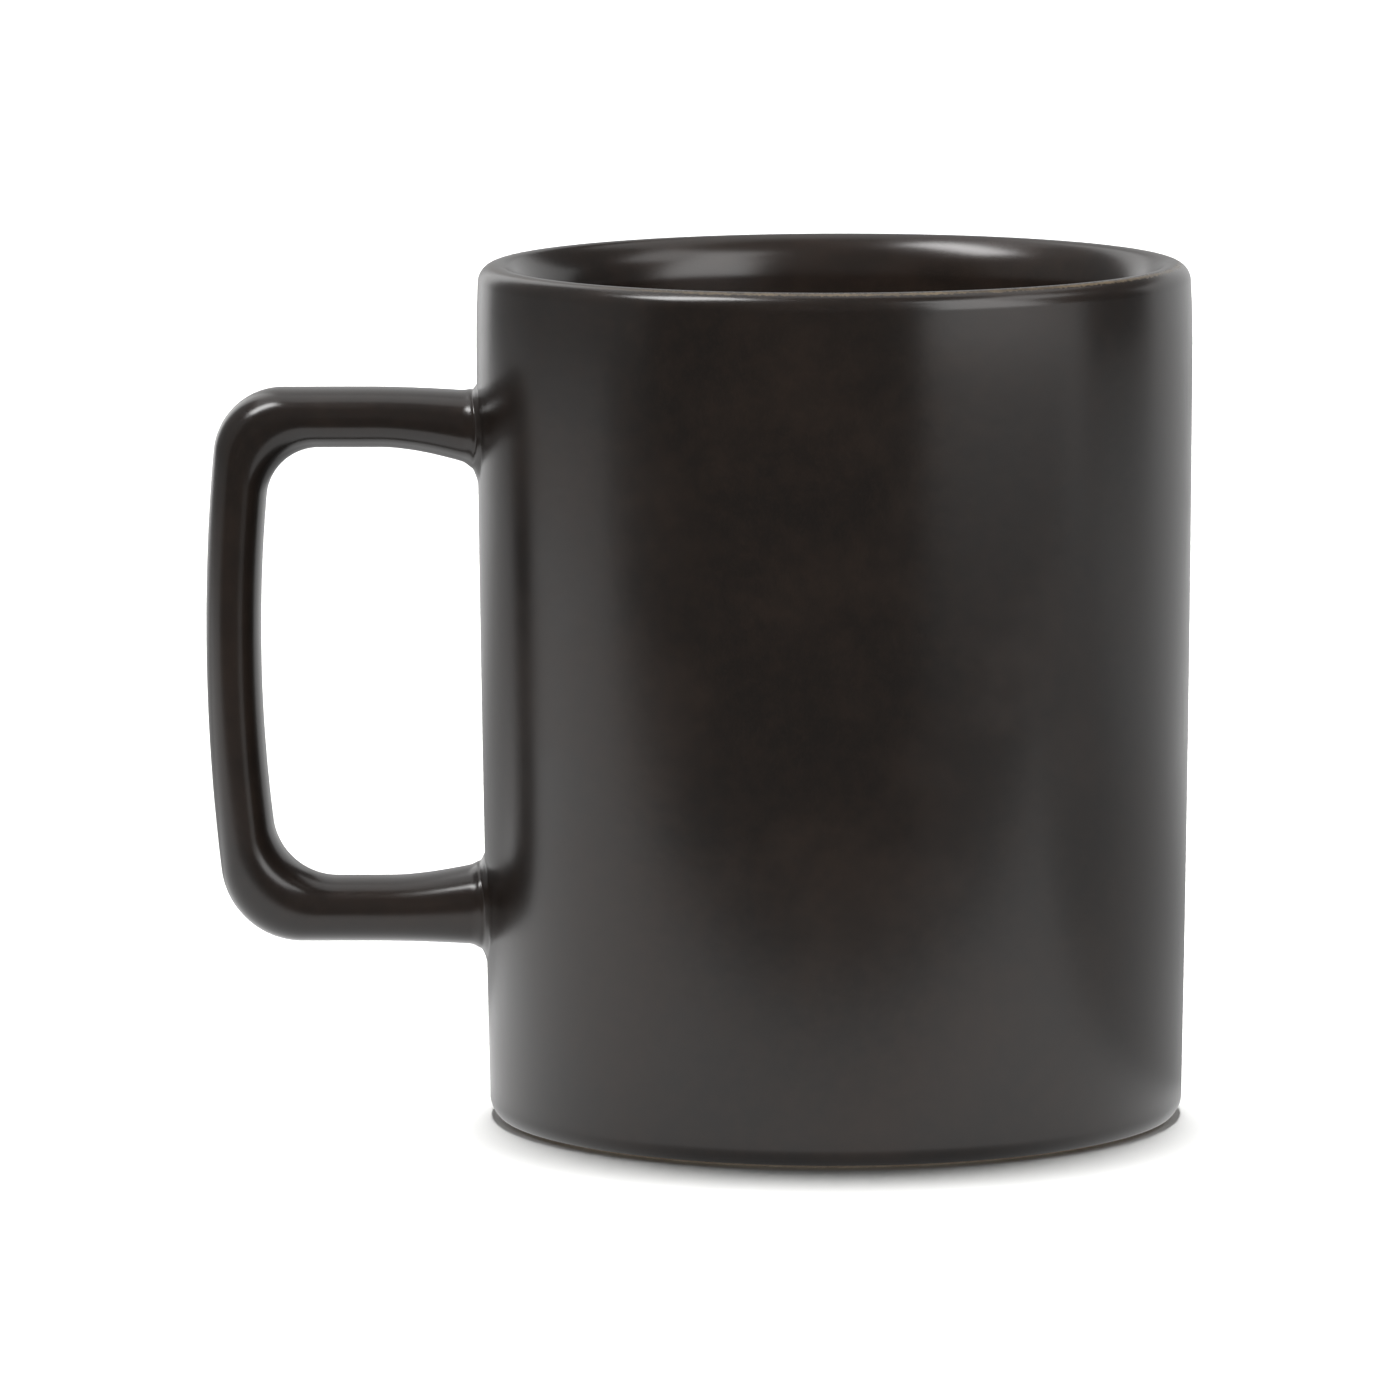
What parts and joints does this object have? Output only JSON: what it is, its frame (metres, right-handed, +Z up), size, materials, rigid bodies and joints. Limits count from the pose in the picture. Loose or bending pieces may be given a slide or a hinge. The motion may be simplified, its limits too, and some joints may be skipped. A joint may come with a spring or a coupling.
{
  "type": "mug",
  "caption": "Straight-sided black-glazed stoneware mug with a squared, gently bowed handle and a bare foot ring, for hot drinks.",
  "frame": {"origin": "on the cup's axis, in the plane of the foot ring that the mug rests on", "axes": "+Z up along the cup's axis, the handle points to -X, and +Y is the side away from the picture's camera"},
  "size_m": [0.1241, 0.0898, 0.108],
  "materials": {
    "black_glaze": "satin",
    "liner_glaze": "satin",
    "stoneware": "matte",
    "slip": "matte"
  },
  "bodies": {
    "root": {"cup_body": "stoneware", "outer_glaze": "black_glaze", "inner_glaze": "liner_glaze", "underside_glaze": "black_glaze", "handle": "stoneware", "upper_slip_joint": "slip", "lower_slip_joint": "slip", "handle_glaze": "black_glaze"}
  },
  "joints": []
}
